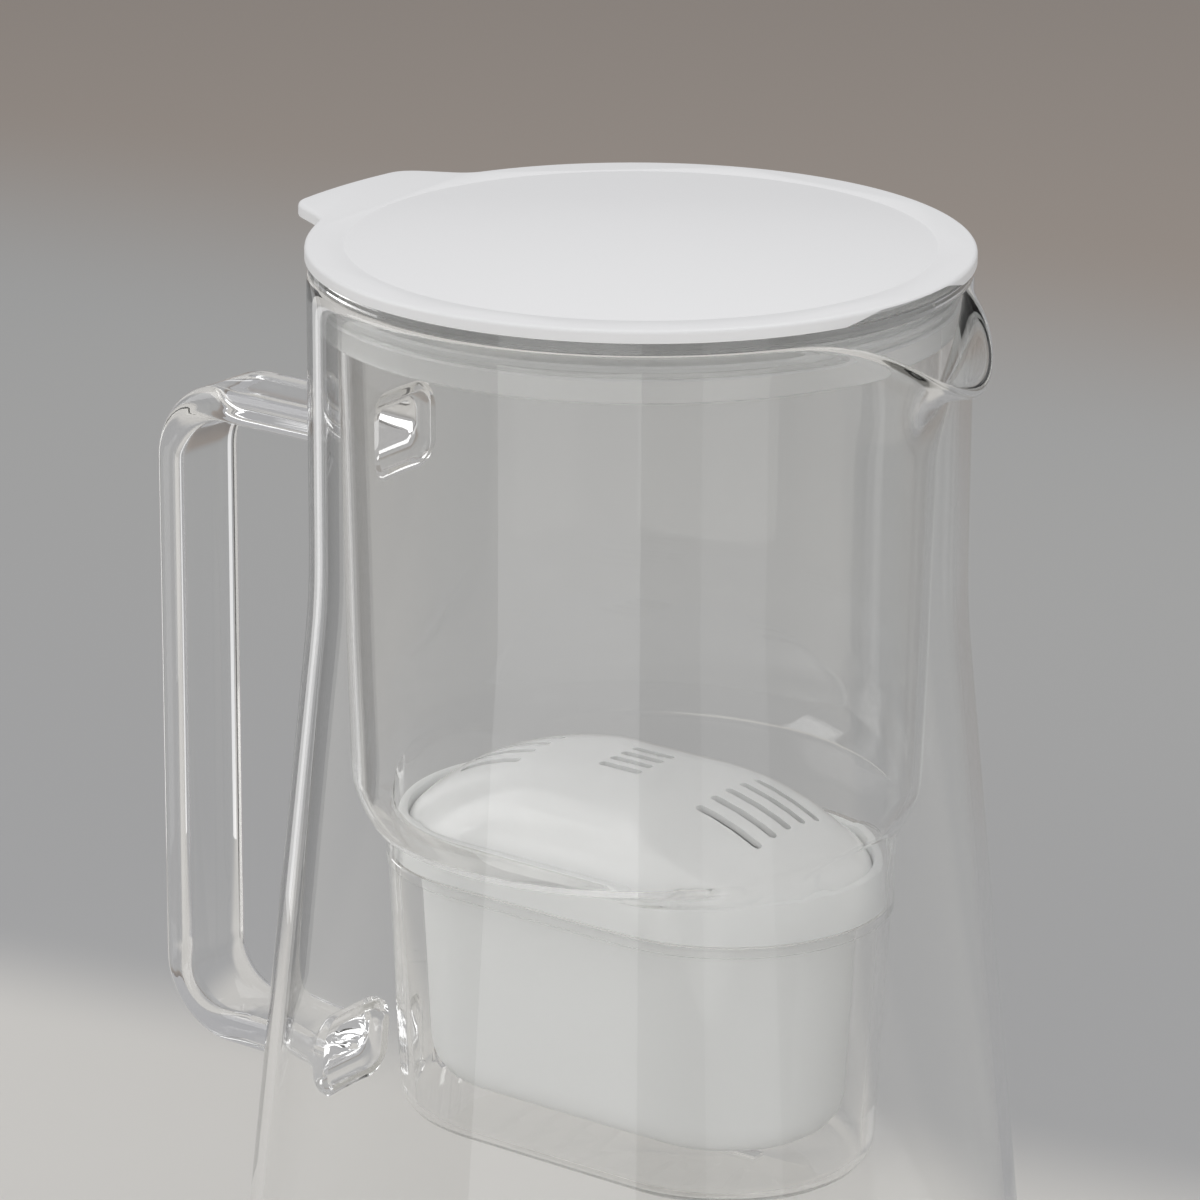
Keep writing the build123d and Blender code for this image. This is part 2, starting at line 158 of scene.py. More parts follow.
card_width, card_height = 0.14, 0.4
card_place = across * -0.34 - towards * 0.24 + Vector((0, 0, 0.2))
card_finish, nodes, links, shader = new_material("dark_card")
shader.inputs["Base Color"].default_value = (0.03, 0.03, 0.03, 1)
bpy.ops.mesh.primitive_plane_add(size=1)
card = bpy.context.object
card.name = "dark_card"
card.data.transform(Matrix.Translation(card_place) @ Matrix.Rotation(view_azimuth, 4, "Z") @
                    Matrix.Rotation(pi / 2, 4, "X") @ Matrix.Diagonal((card_width, card_height, 1, 1)))
card.data.materials.append(card_finish)
card.visible_camera = False
card.visible_shadow = False
card.visible_diffuse = False
surround = bpy.data.worlds.new("surround")
surround.use_nodes = True
surround.node_tree.nodes["Background"].inputs["Color"].default_value = (0.40, 0.40, 0.41, 1)
bpy.context.scene.world = surround

# Glass pitcher, blown in clear borosilicate glass with a flat underside, a conical wall and a
# straight neck. The rim is fire-polished, and the spout is drawn out of it while it is hot.
# All the sizes of the pieces are in millimetres.
mm = 0.001
foot_radius = 84.5
neck_radius = 63.8
glass_wall = 2.4
glass_floor = 3.6
glass_columns = 72
base_middle = 14
base_radii = (45, 66)
heel_round, inner_heel_round = 9.0, 6.6
heel_steps = 4
wall_levels = (16, 45, 86, 125, 160, 186, 200, 214)
flare_top = 200.0
neck_base = 228.0
neck_steps = 8
rim_level = 265.0
bead_side, bead_top = 0.85, 1.2
spout_half_angle = radians(32)
spout_reach = 13.0
spout_drop = 12.0
# Powers by which the spout's reach and its drop fade away to its two sides.
reach_fade, drop_fade = 3.0, 2.2


def ring(name, count, place):
    """Circle whose points are moved to where place puts each turn; it stays in edit mode."""
    bpy.ops.object.select_all(action="DESELECT")
    bpy.ops.mesh.primitive_circle_add(vertices=count, radius=1)
    piece = bpy.context.object
    piece.name = name
    bpy.ops.object.mode_set(mode="EDIT")
    mesh = bmesh.from_edit_mesh(piece.data)
    turn = mesh.verts.layers.float.new("turn")
    for point in mesh.verts:
        point[turn] = atan2(point.co.y, point.co.x)
    move_ring(piece, place)
    return piece


def move_ring(piece, place):
    """Moves the selected ring of points."""
    mesh = bmesh.from_edit_mesh(piece.data)
    turn = mesh.verts.layers.float["turn"]
    for point in mesh.verts:
        if point.select:
            point.co = Vector(place(point[turn])) * mm
    bmesh.update_edit_mesh(piece.data)


def grow(piece, places):
    """Extrudes the open ring again and again, once for each place."""
    for place in places:
        bpy.ops.mesh.extrude_region_move()
        move_ring(piece, place)


def close_ends(piece):
    """Fills the two open ends with one face each, turns all faces outwards and leaves edit mode."""
    bpy.ops.mesh.edge_face_add()
    bpy.ops.mesh.select_all(action="DESELECT")
    bpy.ops.mesh.select_mode(type="VERT")
    bpy.ops.mesh.select_non_manifold()
    bpy.ops.mesh.edge_face_add()
    turn_outwards()


def turn_outwards():
    """Turns all faces of the piece in edit mode outwards and leaves edit mode."""
    bpy.ops.mesh.select_all(action="SELECT")
    bpy.ops.mesh.normals_make_consistent(inside=False)
    bpy.ops.object.mode_set(mode="OBJECT")


def circle(radius, level):
    """Place of a round ring in the XY plane."""
    return lambda turn: (radius * cos(turn), radius * sin(turn), level)


def heel(corner_radius, corner_level, lean, round_radius):
    """Round rings from a level floor up into a wall that leans inwards, lowest first."""
    centre = corner_radius - round_radius * (1 + sin(lean)) / cos(lean)
    sweep = pi / 2 + lean
    rings = []
    for step in range(heel_steps + 1):
        turn = sweep * step / heel_steps
        rings.append(circle(centre + round_radius * sin(turn),
                            corner_level + round_radius * (1 - cos(turn))))
    return rings


def neck(depth, share, rise=0.0):
    """Ring in the neck, at a depth outside the middle of the wall and a share of the way up it.

    In the spout the wall curls outwards. A rise lifts the ring off the end of the wall, for the rim.
    """
    def place(turn):
        swell = 0.0
        if abs(turn) < spout_half_angle:
            swell = cos(turn / spout_half_angle * pi / 2) ** reach_fade
        curl = acos(1 - swell)
        middle = spout_reach + glass_wall / 2
        lip = rim_level - spout_drop * swell ** drop_fade
        start = lip - middle * sin(curl) - glass_wall / 2 * cos(curl)
        run = share * (start - neck_base + middle * curl)
        if run <= start - neck_base:
            radius, level = neck_radius - glass_wall / 2 + depth, neck_base + run
        else:
            angle = (run - (start - neck_base)) / middle
            radius = neck_radius + spout_reach - (middle - depth) * cos(angle) + rise * sin(angle)
            level = start + (middle - depth) * sin(angle) + rise * cos(angle)
        if rise and swell == 0:
            level = rim_level - glass_wall / 2 + rise
        return (radius * cos(turn), radius * sin(turn), level)
    return place


lean = atan2(foot_radius - neck_radius, flare_top)
inner_corner = foot_radius - glass_floor * tan(lean) - glass_wall / cos(lean)


def glass_skin(corner_radius, level, round_radius, inset, depth):
    """Rings of one side of the glass, from the floor up the conical wall to the top of the neck."""
    rings = [circle(radius, level) for radius in base_radii]
    rings += heel(corner_radius, level, lean, round_radius)
    rings += [circle(neck_radius - inset + max(0, flare_top - height) * tan(lean), height)
              for height in wall_levels]
    return rings + [neck(depth, step / neck_steps) for step in range(neck_steps + 1)]


outside = glass_skin(foot_radius, 0, heel_round, 0, glass_wall / 2)
inside = glass_skin(inner_corner, glass_floor, inner_heel_round, glass_wall, -glass_wall / 2)
bead = [neck(bead_side, 1, bead_side), neck(0, 1, bead_top), neck(-bead_side, 1, bead_side)]
glass = ring("glass_pitcher", glass_columns, circle(base_middle, 0))
grow(glass, outside + bead + inside[::-1] + [circle(base_middle, glass_floor)])
close_ends(glass)


def finish_modifier(piece, kind, **values):
    """Adds a modifier with its values and applies it."""
    bpy.ops.object.select_all(action="DESELECT")
    piece.select_set(True)
    bpy.context.view_layer.objects.active = piece
    modifier = piece.modifiers.new(kind.lower(), kind)
    for key, value in values.items():
        setattr(modifier, key, value)
    bpy.ops.object.modifier_apply(modifier=modifier.name)


def cut(piece, tools, operation="DIFFERENCE"):
    """Cuts a piece with one or more tool shapes, or joins them to it. The tools are used up."""
    for tool in tools:
        finish_modifier(piece, "BOOLEAN", operation=operation, solver="EXACT", object=tool)
        bpy.data.objects.remove(tool)


finish_modifier(glass, "SUBSURF", levels=2, render_levels=2)

# The handle is a flat glass bar bent into a C. Both ends are melted onto the wall, where the
# glass spreads like a bell and a hollow is pressed into the weld from inside.
handle_x = -112.4
handle_bend = 13.4
bend_steps = 14
bar_columns = 48
corner_columns = bar_columns // 4
# Width, height and corner of the bar's section, and of the section where it meets the wall.
bar_size = Vector((20.0, 7.2, 3.2))
weld_size = Vector((22.0, 18.0, 5.0))
# Levels of the two welds on the wall, and of the two level runs of the bar.
upper_weld, lower_weld = 221.8, 86.8
upper_run, lower_run = 221.8, 87.1
weld_sink, weld_rise = 1.2, 2.9
bell_length = 11.0
# Distance out from the wall, and the share of the weld's extra size that is left there.
bell_profile = ((0.8, 1.0), (1.4, 0.98), (2.0, 0.92), (2.5, 0.81), (2.85, 0.67), (3.1, 0.52), (3.45, 0.38),
                (3.95, 0.26), (4.6, 0.16), (5.4, 0.08), (6.4, 0.03), (7.6, 0.0), (10.7, 0.0), (13.9, 0.0))
hollow_width, hollow_height = 18.0, 14.0
hollow_corner, least_corner = 4.0, 0.8
hollow_round = 2.2
hollow_steps = 6
# Depth from the floor of the hollow, and how much wider and higher its mouth has grown there.
hollow_mouth = [(2.5, 0.1), (2.8, 0.4), (3.1, 0.9), (3.6, 1.8), (7.0, 6.0)]


def rounded_section(origin, up, size):
    """Place of a rounded rectangle (width, height, corner) square to the run of the bar."""
    width, height, corner = size

    def place(turn):
        quarter, step = divmod(round(turn / (2 * pi) * bar_columns) % bar_columns, corner_columns)
        angle = (quarter + step / (corner_columns - 1)) * pi / 2
        side = 1 if quarter in (0, 3) else -1
        sideways = side * (width / 2 - corner) + corner * cos(angle)
        upright = (1 if quarter < 2 else -1) * (height / 2 - corner) + corner * sin(angle)
        return (Vector((origin[0], 0, origin[1])) + Vector((0, sideways, 0)) +
                Vector((up[0], 0, up[1])) * upright)
    return place


def weld(level, tilt):
    """Middle of the wall's outside at a weld, and the directions out of and up it."""
    radius = neck_radius + max(0, flare_top - level) * tan(lean)
    return Vector((-radius, level)), Vector((-cos(tilt), sin(tilt))), Vector((sin(tilt), cos(tilt)))


def bell(level, tilt, side):
    """Sections from inside the wall out to where the bell has narrowed to the bar."""
    foot, outwards, up = weld(level, tilt)
    up = up * side
    sections = [rounded_section(foot - outwards * weld_sink, up, weld_size)]
    for distance, spread in bell_profile:
        straight = max(0, distance - weld_rise)
        centre = foot + outwards * min(distance, weld_rise) - Vector((straight, 0))
        share = straight / bell_length
        straightened = (up * (1 - share) + Vector((0, side)) * share).normalized()
        size = bar_size + (weld_size - bar_size) * spread
        sections.append(rounded_section(centre, straightened, size))
    return sections


def bend(centre, start):
    """Sections round one corner of the handle, through a quarter turn."""
    turns = [start + pi / 2 * step / bend_steps for step in range(bend_steps + 1)]
    return [rounded_section(Vector(centre) + Vector((-sin(turn), cos(turn))) * handle_bend,
                            (-sin(turn), cos(turn)), bar_size) for turn in turns]


bend_x = handle_x + handle_bend
route = bell(upper_weld, 0.0, 1) + bend((bend_x, upper_run - handle_bend), 0.0)
route += bend((bend_x, lower_run + handle_bend), pi / 2)
route += bell(lower_weld, lean, -1)[::-1]
handle_bar = ring("handle_bar", bar_columns, route[0])
grow(handle_bar, route[1:])
close_ends(handle_bar)
cut(glass, [handle_bar], "UNION")


def weld_hollow(level, tilt):
    """Tool with the soft shape of the hollow: a rounded floor and a mouth that widens inwards."""
    foot, outwards, up = weld(level, tilt)
    floor_point = foot + outwards * (weld_rise - glass_wall)
    stages = []
    for step in range(hollow_steps + 1):
        turn = pi / 2 * step / hollow_steps
        stages.append((hollow_round * (1 - cos(turn)), -2 * hollow_round * (1 - sin(turn))))
    sections = []
    for depth, growth in stages + hollow_mouth:
        size = (hollow_width + growth, hollow_height + growth, max(least_corner, hollow_corner + growth / 2))
        sections.append(rounded_section(floor_point - outwards * depth, up, size))
    tool = ring("weld_hollow", bar_columns, sections[0])
    grow(tool, sections[1:])
    close_ends(tool)
    return tool


cut(glass, [weld_hollow(upper_weld, 0.0), weld_hollow(lower_weld, lean)])
bpy.ops.object.shade_smooth_by_angle(angle=radians(40))

bend_limit = 7.5


def clear_material(name, colour, index, transparency, mirror_limit):
    """Glassy material that lets lamps through to what is behind it.

    Light that has been bent many times, or mirrored more often than the limit, goes straight on, so
    no rim where it stays caught turns black.
    """
    material, nodes, links, shader = new_material(name)
    shader.inputs["Base Color"].default_value = (*colour, 1)
    shader.inputs["Roughness"].default_value = 0.0
    shader.inputs["IOR"].default_value = index
    shader.inputs["Transmission Weight"].default_value = 1.0
    path = nodes.new("ShaderNodeLightPath")
    bent_often = nodes.new("ShaderNodeMath")
    bent_often.operation = "GREATER_THAN"
    bent_often.inputs[1].default_value = bend_limit
    mirrored_often = nodes.new("ShaderNodeMath")
    mirrored_often.operation = "GREATER_THAN"
    mirrored_often.inputs[1].default_value = mirror_limit
    caught = nodes.new("ShaderNodeMath")
    caught.operation = "MAXIMUM"
    straight = nodes.new("ShaderNodeMath")
    straight.operation = "MAXIMUM"
    through = nodes.new("ShaderNodeBsdfTransparent")
    through.inputs["Color"].default_value = (*transparency, 1)
    mixed = nodes.new("ShaderNodeMixShader")
    for source, target in ((path.outputs["Ray Depth"], bent_often.inputs[0]),
                           (path.outputs["Glossy Depth"], mirrored_often.inputs[0]),
                           (bent_often.outputs["Value"], caught.inputs[0]),
                           (mirrored_often.outputs["Value"], caught.inputs[1]),
                           (path.outputs["Is Shadow Ray"], straight.inputs[0]),
                           (caught.outputs["Value"], straight.inputs[1]),
                           (straight.outputs["Value"], mixed.inputs["Fac"]),
                           (shader.outputs["BSDF"], mixed.inputs[1]),
                           (through.outputs["BSDF"], mixed.inputs[2]),
                           (mixed.outputs["Shader"], nodes["Material Output"].inputs["Surface"])):
        links.new(source, target)
    return material, nodes, links, shader


# Relief shared by the glass and the plastics: soft waves or a fine grain, by its scale.
surface_relief = bpy.data.node_groups.new("surface_relief", "ShaderNodeTree")
for socket, kind in (("Vector", "NodeSocketVector"), ("Scale", "NodeSocketFloat"),
                     ("Strength", "NodeSocketFloat"), ("Depth", "NodeSocketFloat")):
    surface_relief.interface.new_socket(socket, in_out="INPUT", socket_type=kind)
surface_relief.interface.new_socket("Normal", in_out="OUTPUT", socket_type="NodeSocketVector")
relief_input = surface_relief.nodes.new("NodeGroupInput")
relief_output = surface_relief.nodes.new("NodeGroupOutput")
waves = surface_relief.nodes.new("ShaderNodeTexNoise")
waves.inputs["Detail"].default_value = 1.0
bump = surface_relief.nodes.new("ShaderNodeBump")
for source, target in ((relief_input.outputs["Vector"], waves.inputs["Vector"]),
                       (relief_input.outputs["Scale"], waves.inputs["Scale"]),
                       (relief_input.outputs["Strength"], bump.inputs["Strength"]),
                       (relief_input.outputs["Depth"], bump.inputs["Distance"]),
                       (waves.outputs["Fac"], bump.inputs["Height"]),
                       (bump.outputs["Normal"], relief_output.inputs["Normal"])):
    surface_relief.links.new(source, target)


def add_relief(nodes, links, shader, source, scale, strength, depth):
    """Joins the shared relief to a material, with its scale in waves to the metre."""
    relief = nodes.new("ShaderNodeGroup")
    relief.node_tree = surface_relief
    relief.inputs["Scale"].default_value = scale
    relief.inputs["Strength"].default_value = strength
    relief.inputs["Depth"].default_value = depth
    links.new(source, relief.inputs["Vector"])
    links.new(relief.outputs["Normal"], shader.inputs["Normal"])


glass_finish, nodes, links, shader = clear_material(
    "blown_clear_glass", colour=(0.996, 0.997, 0.995), index=1.47, transparency=(0.96, 0.96, 0.955),
    mirror_limit=2.5)
place = nodes.new("ShaderNodeTexCoord")
stretch = nodes.new("ShaderNodeMapping")
stretch.inputs["Scale"].default_value = (1, 1, 0.13)
links.new(place.outputs["Object"], stretch.inputs["Vector"])
add_relief(nodes, links, shader, stretch.outputs["Vector"], scale=30.0, strength=0.25, depth=0.0004)
glass.data.materials.append(glass_finish)
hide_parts("carafe_body", "handle")
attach(glass, "carafe")

# Hopper: one thin clear plastic moulding that hangs in the neck by its flange. Its round wall turns
# in over a sloping funnel to an oval pocket, which holds the filter cartridge and drains below.
hopper_wall = 1.6
hopper_columns = 144
bowl_round = 18.0
bowl_round_centre = (37.9, 167.0)
bowl_lean = radians(1.33)
bowl_sides = ((56.69, 200), (57.85, 250), (57.9, 256))
flange_profile = ((57.9, 265.1), (63.1, 265.1), (63.4, 265.4), (63.4, 267.3),
                  (63.1, 267.6), (56.6, 267.6), (56.3, 267.3))
funnel_rim_level = 156.8
funnel_foot_level = 150.4
funnel_steps, bowl_steps = 3, 6
mouth_half_length, mouth_half_width = 54.3, 32.8
pocket_half_length, pocket_half_width = 53.9, 32.4
pocket_wall = 2.2
pocket_corner = 5.0
pocket_draft = tan(radians(2.8))
# Levels outside and inside the moulding: the floor of the pocket, and the ledge round its top.
pocket_floor, inner_pocket_floor = 88.5, 90.5
ledge, inner_ledge = 141.9, 143.5
drain_count, drain_pitch, drain_level = 5, 13, 89.5
drain_size = (9, 3, 6)
guide_rib_x, guide_rib_reach, guide_rib_level = -48.8, 4, 101.7
guide_rib_size = (4.6, 1.6, 22.6)
# Degrees at which the lower corners of the pocket, and of the cup in it, have their rings.
corner_turns = (0, 22.5, 45, 67.5, 90)


def oval_reach(turn, half_length, half_width):
    """Distance from the middle of an oval with straight sides to its edge."""
    straight = half_length - half_width
    side = abs(sin(turn))
    if side > 1e-9 and half_width / side * abs(cos(turn)) <= straight:
        return half_width / side
    return straight * abs(cos(turn)) + sqrt(half_width ** 2 - (straight * sin(turn)) ** 2)


def oval(half_length, half_width, level):
    """Place of an oval ring."""
    def place(turn):
        reach = oval_reach(turn, half_length, half_width)
        return (reach * cos(turn), reach * sin(turn), level)
    return place


def tapered_foot(half_length, half_width, corner, bottom, top, draft, inset=0):
    """Oval rings round the lower corner of a wall that widens by its draft up to its top."""
    rings = []
    for turn in corner_turns:
        rise = corner * (1 - cos(radians(turn)))
        narrowing = inset + corner * (1 - sin(radians(turn))) + (top - bottom - rise) * draft
        rings.append(oval(half_length - narrowing, half_width - narrowing, bottom + rise))
    return rings


def bowl_ring(inset, step):
    """Ring on the way from the mouth of the pocket, step 0, up the funnel and the round of the bowl.

    The funnel grows steeper towards the ends of the oval and gives out where its mouth meets the
    round wall.
    """
    radius = bowl_round - inset
    middle, axis_level = bowl_round_centre

    def place(turn):
        edge = oval_reach(turn, mouth_half_length - inset, mouth_half_width - inset)
        rim_level = funnel_rim_level + inset
        foot_level = funnel_foot_level + inset
        rim = middle + sqrt(radius ** 2 - (axis_level - rim_level) ** 2)
        foot = oval_reach(turn, rim, mouth_half_width - inset)
        first_level = axis_level - sqrt(radius ** 2 - (max(edge, rim) - middle) ** 2)
        start_level = foot_level + (rim_level - foot_level) * max(0, edge - foot) / max(rim - foot, 1e-6)
        if edge >= rim:
            start_level = first_level
        slope_run = hypot(rim - edge, rim_level - start_level) if edge < rim else 0.0
        first_turn = acos((max(edge, rim) - middle) / radius)
        arc_run = (first_turn - bowl_lean) * radius
        total = slope_run + arc_run
        knee = max(slope_run, total / 3)
        if step <= funnel_steps:
            run = knee * step / funnel_steps
        else:
            run = knee + (total - knee) * (step - funnel_steps) / bowl_steps
        if run < slope_run:
            share = run / slope_run
            reach = edge + (rim - edge) * share
            level = start_level + (rim_level - start_level) * share
        else:
            angle = first_turn - (run - slope_run) / radius
            reach = middle + radius * cos(angle)
            level = axis_level - radius * sin(angle)
        return (reach * cos(turn), reach * sin(turn), level)
    return place


def hopper_skin(inset, pocket_inset, bottom, step_level):
    """Rings of one side of the moulding, from the foot of the pocket up to the flange."""
    length, width = pocket_half_length - pocket_inset, pocket_half_width - pocket_inset
    rings = tapered_foot(length, width, pocket_corner - pocket_inset, bottom, step_level, pocket_draft)
    rings += [oval(length, width, step_level),
              oval(mouth_half_length - inset, mouth_half_width - inset, step_level)]
    rings += [bowl_ring(inset, step) for step in range(funnel_steps + bowl_steps + 1)]
    return rings + [circle(radius - inset, level) for radius, level in bowl_sides]


outside = hopper_skin(0, 0, pocket_floor, ledge)
inside = hopper_skin(hopper_wall, pocket_wall, inner_pocket_floor, inner_ledge)
flange = [circle(radius, level) for radius, level in flange_profile]
hopper = ring("hopper_moulding", hopper_columns, outside[0])
grow(hopper, outside[1:] + flange + inside[::-1])
close_ends(hopper)


def block(size, centre):
    """Plain block that serves as a cutting tool or a rib."""
    bpy.ops.object.select_all(action="DESELECT")
    bpy.ops.mesh.primitive_cube_add(size=1)
    tool = bpy.context.object
    tool.data.transform(Matrix.Translation(Vector(centre) * mm) @
                        Matrix.Diagonal((*(Vector(size) * mm), 1)))
    return tool


def slot_row(count, pitch, size, level):
    """Blocks that cut a row of slots across the middle of a floor."""
    return [block(size, ((index - (count - 1) / 2) * pitch, 0, level)) for index in range(count)]


cut(hopper, slot_row(drain_count, drain_pitch, drain_size, drain_level))
cut(hopper, [block(guide_rib_size, (guide_rib_x, side * guide_rib_reach, guide_rib_level))
             for side in (-1, 1)], "UNION")
bpy.ops.object.shade_smooth_by_angle(angle=radians(28))
hopper_finish, nodes, links, shader = clear_material(
    "clear_moulded_plastic", colour=(0.996, 0.996, 0.994), index=1.50, transparency=(0.96, 0.96, 0.955),
    mirror_limit=1.5)
place = nodes.new("ShaderNodeTexCoord")
add_relief(nodes, links, shader, place.outputs["Object"], scale=14.0, strength=0.2, depth=0.0004)
hopper.data.materials.append(hopper_finish)
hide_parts("hopper")
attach(hopper, "hopper")

# Seal: a soft translucent silicone ring pushed onto the top of the hopper. A deep band at its
# foot and two ribs above it touch the neck.
seal_inner, seal_valley, seal_outer = 57.95, 59.6, 61.1
seal_columns = 120
seal_profile = [(seal_inner, 255.5), (seal_outer - 0.4, 255.5), (seal_outer, 255.9), (seal_outer, 259.8),
                (seal_outer - 0.4, 260.2), (seal_valley, 260.2), (seal_valley, 261.25),
                (seal_outer - 0.3, 261.25), (seal_outer, 261.5), (seal_outer, 262.2),
                (seal_outer - 0.3, 262.55), (seal_valley, 262.55), (seal_valley, 263.6),
                (seal_outer - 0.3, 263.6), (seal_outer, 263.9), (seal_outer, 264.6),
                (seal_outer - 0.3, 264.9), (seal_inner, 264.9)]
seal = ring("silicone_seal", seal_columns, circle(*seal_profile[0]))
grow(seal, [circle(radius, level) for radius, level in seal_profile[1:]])
bpy.ops.mesh.select_mode(type="EDGE")
bpy.ops.mesh.select_all(action="DESELECT")
bpy.ops.mesh.select_non_manifold()
bpy.ops.mesh.bridge_edge_loops()
turn_outwards()
bpy.ops.object.shade_smooth_by_angle(angle=radians(35))
seal_finish, nodes, links, shader = clear_material(
    "translucent_silicone", colour=(0.95, 0.955, 0.95), index=1.41, transparency=(0.75, 0.76, 0.76),
    mirror_limit=2.5)
shader.inputs["Transmission Weight"].default_value = 0.7
shader.inputs["Roughness"].default_value = 0.25
place = nodes.new("ShaderNodeTexCoord")
haze = nodes.new("ShaderNodeTexNoise")
haze.inputs["Scale"].default_value = 40.0
tone = nodes.new("ShaderNodeMix")
tone.data_type = "RGBA"
tone.inputs["A"].default_value = (0.93, 0.935, 0.93, 1)
tone.inputs["B"].default_value = (0.98, 0.98, 0.975, 1)
links.new(place.outputs["Object"], haze.inputs["Vector"])
links.new(haze.outputs["Fac"], tone.inputs["Factor"])
links.new(tone.outputs["Result"], shader.inputs["Base Color"])
seal.data.materials.append(seal_finish)
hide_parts("seal_ring")
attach(seal, "hopper")

# Lid: a flat disc moulded in white plastic, with a thumb tab over the handle. It lies on the
# flange, and a shallow skirt inside the hopper keeps it from sliding. Its edge is thinner over
# the spout, which lets the water out.
lid_radius = 64.0
lid_level = 267.6
lid_thickness = 2.4
lid_columns = 360
lid_edge_round = 0.8
tab_half_angle = pi / 3
tab_end_centre, tab_end_radius = 35.9, 109.2
tab_side_slope = atan2(9.0, 18.0)
tab_side_offset = 47.2
# The outline is averaged over nine places, this many degrees apart, which rounds its corners.
blend_places, blend_angle = range(-4, 5), 0.55
skirt_profile = [(54.1, 260.4), (54.4, 260.1), (55.4, 260.1), (55.7, 260.4), (55.7, 268.4), (54.1, 268.4)]
groove_profile = [(56.0, 270.5), (56.0, 270.0), (56.3, 269.88), (56.7, 269.88), (57.0, 270.0), (57.0, 270.5)]
relief_profile = [(60.5, 267.0), (68.0, 267.0), (68.0, 269.5), (60.5, 269.5)]
# Width of the thinner edge at the underside of the lid, and where it has its full depth.
relief_width, relief_flat_width, relief_depth = 38.5, 22.0, 1.9
# Beyond that width the tool ends this share of its depth under the lid, and cuts nothing.
relief_overrun = 0.2


def lid_edge(turn):
    """Distance from the middle of the lid to its sharp outline, at an angle from the middle of the tab."""
    if turn > tab_half_angle:
        return lid_radius
    end = -tab_end_centre * cos(turn) + sqrt(tab_end_radius ** 2 - (tab_end_centre * sin(turn)) ** 2)
    side = tab_side_offset / sin(turn + tab_side_slope)
    return max(lid_radius, min(end, side))


bpy.ops.object.select_all(action="DESELECT")
bpy.ops.mesh.primitive_circle_add(vertices=lid_columns, radius=lid_radius * mm)
lid = bpy.context.object
lid.name = "lid_disc"
bpy.ops.object.mode_set(mode="EDIT")
mesh = bmesh.from_edit_mesh(lid.data)
for point in mesh.verts:
    turn = abs(atan2(point.co.y, -point.co.x))
    reaches = [lid_edge(abs(turn + radians(step * blend_angle))) for step in blend_places]
    point.co = point.co.normalized() * (sum(reaches) / len(reaches)) * mm
    point.co.z = lid_level * mm
bmesh.update_edit_mesh(lid.data)
bpy.ops.mesh.edge_face_add()
bpy.ops.mesh.extrude_region_move(TRANSFORM_OT_translate={"value": (0, 0, lid_thickness * mm)})
bpy.ops.mesh.select_mode(type="EDGE")
bpy.ops.mesh.select_all(action="DESELECT")
mesh = bmesh.from_edit_mesh(lid.data)
for edge in mesh.edges:
    if all(abs(point.co.z - (lid_level + lid_thickness) * mm) < 1e-6 for point in edge.verts):
        edge.select_set(True)
bmesh.update_edit_mesh(lid.data)
bpy.ops.mesh.bevel(offset=lid_edge_round * mm, segments=4, affect="EDGES")
turn_outwards()


def turned_tool(name, profile, steps, sweep=2 * pi, start=0.0):
    """Tool that is spun round the upright axis from a closed outline of (radius, level)."""
    bpy.ops.object.select_all(action="DESELECT")
    bpy.ops.mesh.primitive_circle_add(vertices=len(profile), radius=1)
    tool = bpy.context.object
    tool.name = name
    bpy.ops.object.mode_set(mode="EDIT")
    mesh = bmesh.from_edit_mesh(tool.data)
    points = sorted(mesh.verts, key=lambda point: atan2(point.co.y, point.co.x))
    for point, (radius, level) in zip(points, profile):
        point.co = Vector((radius * cos(start), radius * sin(start), level)) * mm
    bmesh.update_edit_mesh(tool.data)
    bpy.ops.mesh.select_all(action="SELECT")
    if sweep < 2 * pi:
        bpy.ops.mesh.edge_face_add()
    bpy.ops.mesh.spin(steps=steps, angle=sweep, axis=(0, 0, 1), center=(0, 0, 0))
    bpy.ops.mesh.select_all(action="SELECT")
    bpy.ops.mesh.remove_doubles(threshold=1e-6)
    turn_outwards()
    return tool


cut(lid, [turned_tool("lid_skirt", skirt_profile, steps=128)], "UNION")
groove = turned_tool("lid_groove", groove_profile, steps=192)
pour_relief = turned_tool("pour_relief", relief_profile, steps=36, sweep=radians(36), start=radians(18))
for point in pour_relief.data.vertices:
    if point.co.z > lid_level * mm:
        slope = (relief_width / 2 - abs(point.co.y) / mm) / (relief_width / 2 - relief_flat_width / 2)
        point.co.z = (lid_level + relief_depth * max(-relief_overrun, min(1, slope))) * mm
cut(lid, [groove, pour_relief])
bpy.ops.object.shade_smooth_by_angle(angle=radians(30))


def moulded_plastic(name, colour, roughness, grain, strength):
    """Plastic with a fine grain in its skin, given in grains to the metre."""
    material, nodes, links, shader = new_material(name)
    shader.inputs["Base Color"].default_value = (*colour, 1)
    shader.inputs["Roughness"].default_value = roughness
    place = nodes.new("ShaderNodeTexCoord")
    add_relief(nodes, links, shader, place.outputs["Object"], scale=grain, strength=strength, depth=0.0001)
    return material


lid.data.materials.append(moulded_plastic("white_lid_plastic", (0.80, 0.80, 0.80), roughness=0.42,
                                          grain=900.0, strength=0.12))
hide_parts("lid")
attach(lid, "lid")

# Filter cartridge: a cup moulded in matt white plastic, with a wide oval collar that seats on the
# pocket's ledge. Nine slots in its floor let the filtered water out.
cup_half_length, cup_half_width = 47.5, 25.3
cup_wall = 1.3
cup_corner = 7.0
cup_foot = 96.5
cup_columns = 120
cup_draft = tan(radians(2.8))
collar_half_length, collar_half_width = 52.5, 31.0
collar_draft = tan(radians(2.7))
web_thickness = 1.5
web_level = inner_ledge + web_thickness
